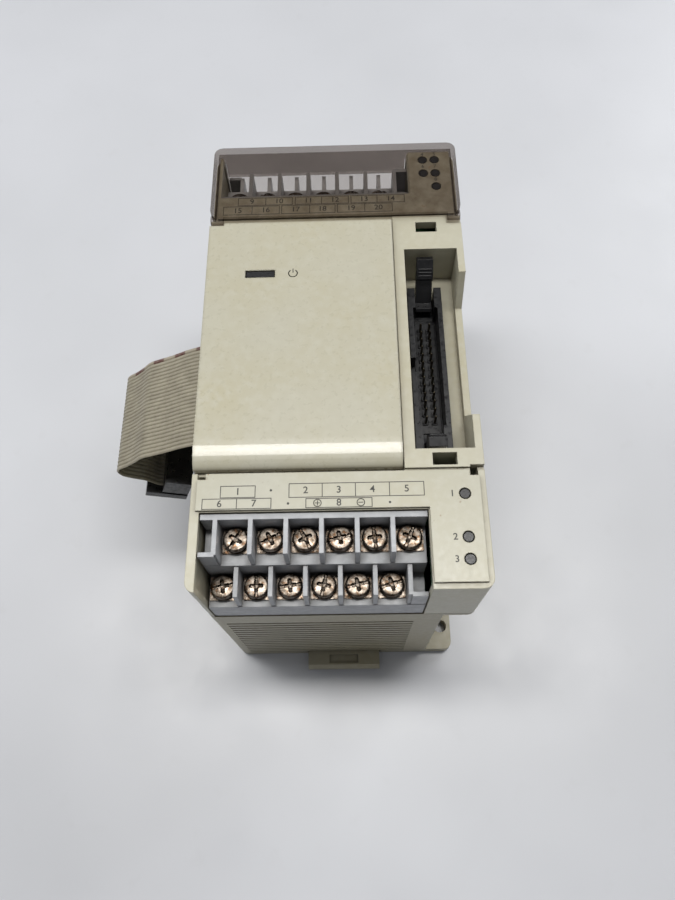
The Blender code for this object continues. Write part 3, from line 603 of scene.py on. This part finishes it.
def add_cells(data, edges, rows, width, z):
    """A row of printed cells, by distances from the housing's corner in mm; each line is drawn once."""
    low, high = spot(edges[0], rows[0], 0), spot(edges[-1], rows[1], 0)
    add_line(data, (low.x, low.y), (high.x, low.y), width, z)
    add_line(data, (low.x, high.y), (high.x, high.y), width, z)
    for edge in edges:
        x = spot(edge, 0, 0).x
        add_line(data, (x, low.y + 1.1 * width), (x, high.y - 1.1 * width), width, z)


def add_text(name, text, x, y, size, z, material):
    """Printed digits as a thin mesh, centred at a place by distances from the housing's corner."""
    curve = bpy.data.curves.new(name, "FONT")
    curve.body = text
    curve.size = size * MM
    curve.align_x = "CENTER"
    curve.align_y = "CENTER"
    curve.extrude = INK_RISE
    curve.offset = 0.03 * MM
    curve.resolution_u = 4
    letters = bpy.data.objects.new(f"{name}_curve", curve)
    bpy.context.scene.collection.objects.link(letters)
    letters.location = spot(x, y, z / MM)
    bpy.context.view_layer.update()
    depsgraph = bpy.context.evaluated_depsgraph_get()
    mesh = bpy.data.meshes.new_from_object(letters.evaluated_get(depsgraph))
    mesh.transform(letters.matrix_world)
    bpy.data.objects.remove(letters)
    mesh.name = name
    mesh.materials.clear()
    mesh.materials.append(material)
    link_piece(name, mesh)


# Label cells: (cell edges from the left, low and high edge from the lower end, first number)
LOWER_CELLS = [
    ((7.7, 16.5), (23.9, 27.0), 1),
    ((25.1, 33.5, 41.9, 50.5, 59.2), (23.7, 27.4), 2),
    ((3.2, 11.9, 20.6), (20.9, 23.6), 6),
    ((29.4, 46.0), (20.9, 23.3), 8),
]
UPPER_CELLS = [
    ((8.0, 16.4, 24.5), (118.5, 121.3), 9),
    ((25.4, 33.4, 41.6), (118.5, 121.3), 11),
    ((42.4, 50.3, 58.6), (118.5, 121.3), 13),
    ((3.6, 12.3, 20.6), (115.0, 118.1), 15),
    ((21.3, 29.8, 37.5), (115.0, 118.1), 17),
    ((38.2, 46.5, 54.8), (115.0, 118.1), 19),
]
LOWER_DOTS = [(20.5, 25.7), (24.9, 22.1), (50.5, 22.0)]
# Lamp numbers: (from the left, from the lower end, number, size)
LAMP_NUMBERS = [
    (66.2, 24.0, 1, 2.4),
    (66.2, 12.7, 2, 2.4),
    (66.2, 7.1, 3, 2.4),
    (64.9, 137.3, 4, 1.8),
    (68.6, 137.3, 5, 1.8),
    (64.9, 132.3, 6, 1.8),
    (68.6, 132.3, 7, 1.8),
    (68.6, 127.0, 8, 1.8),
]
NUMBER_SIZE = 2.6
DOT_RADIUS = 0.32


def make_labels(ink):
    """Cell frames with plain numbers above both terminal recesses, dots, and the lamps' numbers."""
    for end, cells in (("lower", LOWER_CELLS), ("upper", UPPER_CELLS)):
        z = node_box(f"{end}_label_plate")[1].z
        data = bmesh.new()
        for edges, rows, first in cells:
            add_cells(data, edges, rows, LINE_WIDTH, z)
            for index, (left, right) in enumerate(zip(edges, edges[1:])):
                middle = ((left + right) / 2, sum(rows) / 2)
                add_text(f"{end}_number_{first + index}", str(first + index), *middle, NUMBER_SIZE, z, ink)
        if end == "lower":
            for x, y in LOWER_DOTS:
                add_dot(data, x, y, DOT_RADIUS, z)
            add_polarity(data, 32.3, 22.1, z, positive=True)
            add_polarity(data, 43.2, 22.1, z, positive=False)
        add_piece(f"{end}_printed_frames", data, ink, smooth=False)
        for x, y, number, size in LAMP_NUMBERS:
            if (y < 60) == (end == "lower"):
                add_text(f"lamp_number_{number}", str(number), x, y, size, z, ink)


def add_dot(data, x, y, radius, z):
    """A printed dot, by distances from the housing's corner in mm."""
    centre = spot(x, y, z / MM)
    made = bmesh.ops.create_cone(
        data, cap_ends=True, segments=20, radius1=radius * MM, radius2=radius * MM, depth=2 * INK_RISE
    )
    bmesh.ops.translate(data, verts=made["verts"], vec=centre)


def add_arc(data, centre, radius, start, end, width, z):
    """A printed arc between two angles in degrees, of short straight lines."""
    steps = 24
    points = []
    for step in range(steps + 1):
        angle = math.radians(start + (end - start) * step / steps)
        points.append((centre.x + radius * math.cos(angle), centre.y + radius * math.sin(angle)))
    for before, after in zip(points, points[1:]):
        add_line(data, before, after, width, z)


def add_polarity(data, x, y, z, positive):
    """A plus or a minus in a ring, by distances from the housing's corner in mm."""
    centre = spot(x, y, 0)
    arm = 0.55 * MM
    add_arc(data, centre, 0.95 * MM, 0, 360, LINE_WIDTH, z)
    add_line(data, (centre.x - arm, centre.y), (centre.x + arm, centre.y), LINE_WIDTH, z)
    if positive:
        add_line(data, (centre.x, centre.y - arm), (centre.x, centre.y + arm), LINE_WIDTH, z)


def make_power_mark(ink):
    """The usual power symbol beside the power lamp: an open ring with a bar through the gap."""
    z = node_box("centre_panel")[1].z
    data = bmesh.new()
    lamp_low, lamp_high = node_box("power_light_guide")
    centre = Vector((lamp_high.x + 3.2 * MM, (lamp_low.y + lamp_high.y) / 2, 0))
    half_gap = 38
    width = 0.26 * MM
    add_arc(data, centre, 1.25 * MM, 90 + half_gap, 450 - half_gap, width, z)
    add_line(data, (centre.x, centre.y + 0.35 * MM), (centre.x, centre.y + 1.5 * MM), width, z)
    add_piece("power_mark", data, ink, smooth=False)


# ---------------------------------------------------------------- bus header

HEADER_COLUMNS = 13
HEADER_PITCH = 2.54


def header_contacts():
    """The places of the header's 26 contacts, in two rows of 13."""
    low, high = node_box("bus_header")
    for column in range(HEADER_COLUMNS):
        for side in (-1, 1):
            x = (low.x + high.x) / 2 + side * HEADER_PITCH / 2 * MM
            y = (low.y + high.y) / 2 + (column - HEADER_COLUMNS // 2) * HEADER_PITCH * MM
            yield x, y


def make_header_pins(gold):
    """Square pins, each with a pointed tip, on the header's floor."""
    base = node_box("bus_header")[0].z
    tip = base + 7.2 * MM
    half = 0.32 * MM
    profile = [
        (base + 2.1 * MM, half),
        (tip - 0.9 * MM, half),
        (tip - 0.25 * MM, half * 0.62),
        (tip, half * 0.3),
    ]
    data = bmesh.new()
    for x, y in header_contacts():
        rings = []
        for z, reach in profile:
            corners = ((-1, -1), (1, -1), (1, 1), (-1, 1))
            rings.append([Vector((x + u * reach, y + v * reach, z)) for u, v in corners])
        surface_rings(data, rings)
    add_piece("header_pins", data, gold, smooth=False)


def make_header_insert(black):
    """The insulator strip at the cavity's floor, with a raised rim round each pin."""
    low, high = node_box("bus_header")
    centre_x, centre_y = (low.x + high.x) / 2, (low.y + high.y) / 2
    half_width, half_length, half_rim = 3.3 * MM, 18.6 * MM, 0.8 * MM
    floor = low.z + 2.25 * MM
    data = bmesh.new()
    add_block(
        data,
        (centre_x - half_width, centre_y - half_length, floor),
        (centre_x + half_width, centre_y + half_length, floor + 0.5 * MM),
        0.1 * MM,
    )
    for x, y in header_contacts():
        add_block(
            data,
            (x - half_rim, y - half_rim, floor + 0.4 * MM),
            (x + half_rim, y + half_rim, floor + 0.9 * MM),
            0.12 * MM,
        )
    add_piece("header_insert", data, black)


# ---------------------------------------------------------------- flat cable

# The cable's centreline from the left wall to the socket, in millimetres: (from the left side, height)
CABLE_ROUTE = [
    (2.9, 82.5), (0.0, 82.5), (-3.0, 82.2), (-8.0, 80.2), (-13.4, 77.2), (-18.0, 75.0), (-21.3, 73.3),
    (-24.2, 70.2), (-27.3, 67.3), (-29.9, 65.4), (-31.2, 63.2), (-30.7, 60.3), (-28.4, 58.2), (-25.2, 56.4),
]
# Its end, in the socket's own turned frame
CABLE_IN_SOCKET = [(-3.2, 1.5), (-1.5, 0.35), (0.2, 0.0), (8.2, 0.0)]
SOCKET_TURN = math.radians(20)
SOCKET_AT = (-20.5, 51.5)
WIRES = 26
WIRE_PITCH = 1.27
CABLE_Y = 45.8  # from the housing's lower end to the cable's first edge


def in_socket(across, up):
    """A place in the socket's turned frame, as (from the left side, height) in millimetres."""
    turn_cos, turn_sin = math.cos(SOCKET_TURN), math.sin(SOCKET_TURN)
    return (
        SOCKET_AT[0] + across * turn_cos + up * turn_sin,
        SOCKET_AT[1] - across * turn_sin + up * turn_cos,
    )


def smooth_line(points, steps):
    """A Catmull-Rom curve through a line of points."""
    spread = []
    count = len(points)
    for index in range(count - 1):
        p0 = Vector(points[max(index - 1, 0)])
        p1, p2 = Vector(points[index]), Vector(points[index + 1])
        p3 = Vector(points[min(index + 2, count - 1)])
        for step in range(steps):
            t = step / steps
            spread.append(
                0.5 * (2 * p1 + (p2 - p0) * t + (2 * p0 - 5 * p1 + 4 * p2 - p3) * t**2
                       + (3 * p1 - p0 - 3 * p2 + p3) * t**3)
            )
    spread.append(Vector(points[-1]))
    return spread


def wire_section():
    """Half-width and height pairs round one conductor: round above and below, thin where it joins."""
    web = WIRE_PITCH / 2
    upper = []
    for angle in (35, 62, 90, 118, 145):
        upper.append((0.58 * math.cos(math.radians(angle)), 0.40 * math.sin(math.radians(angle))))
    lower = [(across, -up) for across, up in reversed(upper)]
    return [(web, 0.0), *upper, (-web, 0.0), *lower]


def wire_rings(path):
    """The conductor's section at each point of its path, square to the path."""
    rings = []
    for index, point in enumerate(path):
        before, after = path[max(index - 1, 0)], path[min(index + 1, len(path) - 1)]
        way = (after - before).normalized()
        out = Vector((-way.z, 0, way.x))
        ring = [point + Vector((0, across * MM, 0)) + out * up * MM for across, up in wire_section()]
        rings.append(ring)
    return rings


def make_flat_cable(sheath, marked):
    """26 conductors side by side, each a separate piece. The last one is the marked edge."""
    route = smooth_line(CABLE_ROUTE + [in_socket(*point) for point in CABLE_IN_SOCKET], 4)
    for wire in range(WIRES):
        y = HOUSING_LOW.y + (CABLE_Y + WIRE_PITCH * (wire + 0.5)) * MM
        path = [Vector((HOUSING_LOW.x + x * MM, y, z * MM)) for x, z in route]
        data = bmesh.new()
        surface_rings(data, wire_rings(path))
        material = marked if wire == WIRES - 1 else sheath
        name = f"cable_wire_{wire + 1}"
        piece = add_piece(name, data, material, replaces=("flat_cable",))


# ---------------------------------------------------------------- small trim


RIB_HALF_WIDTH = 2.0
RIB_HEIGHT = 0.45
RIB_ACROSS = (-2.75, -2.2)


def make_latch_ribs(black):
    """Finger ribs across the top of each ejector latch, in the latch's own leaning frame."""
    joints = {joint["child"]: joint for joint in frame["joints"]}
    for body, lean, outward in (("upper_ejector", -34.0, 1), ("lower_ejector", 18.0, -1)):
        pivot = Vector(joints[body]["pos_m"])
        turn = Matrix.Rotation(math.radians(lean), 3, "X")
        y_low, y_high = sorted(outward * across * MM for across in RIB_ACROSS)
        data = bmesh.new()
        for z in (9.4, 10.4, 11.4):
            low = (-RIB_HALF_WIDTH * MM, y_low, z * MM)
            high = (RIB_HALF_WIDTH * MM, y_high, (z + RIB_HEIGHT) * MM)
            add_block(data, low, high, 0.1 * MM)
        for vertex in data.verts:
            vertex.co = turn @ vertex.co + pivot
        add_piece(f"{body}_latch_ribs", data, black, body=body)


SPRING_TURNS = 13
SPRING_STEPS = 16
SPRING_END_ROOM = 2.2
SPRING_WIRE_RADIUS = 0.28


def make_latch_spring(steel):
    """The rail latch's spring: an open coil whose wire runs back to the axis at each end."""
    low, high = node_box("rail_latch_spring")
    centre_x, centre_z = (low.x + high.x) / 2, (low.z + high.z) / 2
    mean = (high.x - low.x) / 2 - 0.3 * MM
    start, end = low.y + SPRING_END_ROOM * MM, high.y - SPRING_END_ROOM * MM
    tail_x = centre_x + mean * 0.6
    points = [(centre_x, low.y + 0.3 * MM, centre_z), (tail_x, low.y + 1.2 * MM, centre_z)]
    for step in range(SPRING_TURNS * SPRING_STEPS + 1):
        angle = 2 * math.pi * step / SPRING_STEPS
        y = start + (end - start) * step / (SPRING_TURNS * SPRING_STEPS)
        points.append((centre_x + mean * math.cos(angle), y, centre_z + mean * math.sin(angle)))
    points += [(tail_x, high.y - 1.2 * MM, centre_z), (centre_x, high.y - 0.3 * MM, centre_z)]
    curve = bpy.data.curves.new("rail_latch_spring_coil", "CURVE")
    curve.dimensions = "3D"
    curve.bevel_depth = SPRING_WIRE_RADIUS * MM
    curve.bevel_resolution = 2
    curve.use_fill_caps = True
    spline = curve.splines.new("POLY")
    spline.points.add(len(points) - 1)
    for index, point in enumerate(points):
        spline.points[index].co = (*point, 1)
    curve.materials.append(steel)
    link_piece("rail_latch_spring_coil", curve, replaces=("rail_latch_spring",))


LEG_PITCHES = {"counter_processor": 1.27, "input_optocouplers": 2.54, "output_drivers": 2.54}
LEG_REACH = 1.1
LEG_HALF_WIDTH = 0.2


def make_chip_legs(tin):
    """Plain block legs along two sides of the chips on both boards."""
    data = bmesh.new()
    for node, pitch in LEG_PITCHES.items():
        low, high = node_box(node)
        count = int((high.x - low.x - 1.5 * MM) / (pitch * MM))
        first = (low.x + high.x) / 2 - (count - 1) * pitch * MM / 2
        for index in range(count):
            x = first + index * pitch * MM
            for y_low, y_high in ((low.y - LEG_REACH * MM, low.y), (high.y, high.y + LEG_REACH * MM)):
                add_block(
                    data,
                    (x - LEG_HALF_WIDTH * MM, y_low, low.z - 0.25 * MM),
                    (x + LEG_HALF_WIDTH * MM, y_high, low.z + 0.9 * MM),
                )
    add_piece("chip_legs", data, tin, smooth=False)


# The rear case's louvre grooves, as the CAD cuts them
VENTS = 16
VENT_PITCH = 3.5
VENT_FIRST_Z = 4.0
VENT_HEIGHT = 1.2
VENT_DEPTH = 1.5
VENT_SIDE_WALL = 4.0
VENT_LENGTH = 54.0
# Where the painted shade filling starts under the wall's face, and the room left round it
VENT_SUNK = 0.35
VENT_GAP = 0.08


def make_vent_slots(dark):
    """Painted shade: dark fillings in the rear case's louvre grooves, standing for the dark inside of open
    slots, a little under the face of both end walls.
    """
    left, right = HOUSING_LOW.x + VENT_SIDE_WALL * MM, HOUSING_HIGH.x - VENT_SIDE_WALL * MM
    gap = VENT_GAP * MM
    for end, wall_y, inward, first_x in (
        ("lower", HOUSING_LOW.y, 1, left),
        ("upper", HOUSING_HIGH.y, -1, right - VENT_LENGTH * MM),
    ):
        data = bmesh.new()
        floor_y = wall_y + inward * VENT_DEPTH * MM
        front_y = wall_y + inward * VENT_SUNK * MM
        for row in range(VENTS):
            z = (VENT_FIRST_Z + VENT_PITCH * row) * MM
            add_block(
                data,
                (first_x + gap, min(floor_y, front_y), z + gap),
                (first_x + VENT_LENGTH * MM - gap, max(floor_y, front_y), z + VENT_HEIGHT * MM - gap),
            )
        add_piece(f"vent_shade_fill_{end}", data, dark, smooth=False)


def make_floor():
    """A plain pale table top under the module and far behind it."""
    data = bmesh.new()
    bmesh.ops.create_grid(data, x_segments=2, y_segments=2, size=1.6)
    mesh = bpy.data.meshes.new("table")
    data.to_mesh(mesh)
    data.free()
    mesh.materials.append(table_top())
    floor = bpy.data.objects.new("table", mesh)
    floor.location.z = CAD_BOUNDS[0][2] - 0.0002
    bpy.context.scene.collection.objects.link(floor)


# ---------------------------------------------------------------- the whole scene

IVORY = (0.470, 0.452, 0.362)
LABEL_IVORY = (0.455, 0.442, 0.360)
# The rear case's colour is darker than the front's: partly a duller, dirtier plastic, partly painted shade
# for its shaded near wall
REAR_IVORY_WITH_SHADE = (0.370, 0.343, 0.254)
# Dirt colours, used for specks and also for painted shade in the corners
IVORY_DIRT_AND_SHADE = (0.16, 0.13, 0.085)
REAR_DIRT_AND_SHADE = (0.07, 0.055, 0.035)

make_camera()
make_lights()
make_floor()

ivory = moulded_plastic("ivory_plastic", IVORY, IVORY_DIRT_AND_SHADE, 0.34)
panel_ivory = moulded_plastic("panel_plastic", IVORY, IVORY_DIRT_AND_SHADE, 0.30, edge=1.2, coat=0.8)
rear_ivory_with_shade = moulded_plastic("rear_plastic_with_shade", REAR_IVORY_WITH_SHADE, REAR_DIRT_AND_SHADE, 0.40, 0.016)
label_ivory = moulded_plastic("label_plastic", LABEL_IVORY, IVORY_DIRT_AND_SHADE, 0.33, 0.006, rust=0.8)
grey = grey_moulding("grey_moulding")
black = black_moulding("black_moulding")
screw_metal = tarnished_metal("screw_metal", (0.27, 0.232, 0.195), (0.072, 0.052, 0.036), 0.29, 0.75)
steel = tarnished_metal("spring_steel", (0.62, 0.62, 0.62), (0.45, 0.43, 0.40), 0.28, 0.15)
gold = tarnished_metal("pin_gold", (0.22, 0.185, 0.125), (0.11, 0.092, 0.066), 0.34, 0.1)
brass = tarnished_metal("brass_spacer", (0.80, 0.62, 0.30), (0.55, 0.42, 0.20), 0.28, 0.1)
smoke = smoke_clear("smoke_cover")
laminate = circuit_laminate("circuit_board")
ink = printed_ink("printed_ink")
lens = lamp_lens("lamp_lens")
sheath = cable_sheath("cable_sheath", (0.335, 0.306, 0.230), (0.270, 0.243, 0.182))
marked = dashed_sheath("marked_sheath", (0.330, 0.292, 0.222), (0.110, 0.042, 0.038))
ferrite = black_moulding("ferrite_core", 0.6)

finish_nodes(ivory, "front_housing")
finish_nodes(panel_ivory, "centre_panel")
finish_nodes(rear_ivory_with_shade, "rear_case", "rail_latch")
finish_nodes(label_ivory, "lower_label_plate", "upper_label_plate")
finish_nodes(grey, "lower_terminal_block", "upper_terminal_block")
finish_nodes(smoke, "upper_terminal_cover")
finish_nodes(lens, "upper_light_guide", "lower_light_guide", "power_light_guide")
finish_nodes(black, "bus_header", "upper_ejector_latch", "lower_ejector_latch", "cable_socket")
finish_nodes(black, "cable_socket_cap", "cable_transition", "board_link", "counter_processor")
finish_nodes(black, "input_optocouplers", "output_drivers", "supply_capacitor")
finish_nodes(ferrite, "supply_transformer")
finish_nodes(laminate, "io_board", "logic_board")
finish_nodes(brass, *[f"board_spacer_{number}" for number in range(1, 5)])

make_screws(screw_metal)
make_labels(ink)
make_power_mark(ink)
make_header_pins(gold)
make_header_insert(black)
make_flat_cable(sheath, marked)
make_latch_ribs(black)
make_latch_spring(steel)
make_chip_legs(steel)
make_vent_slots(black)
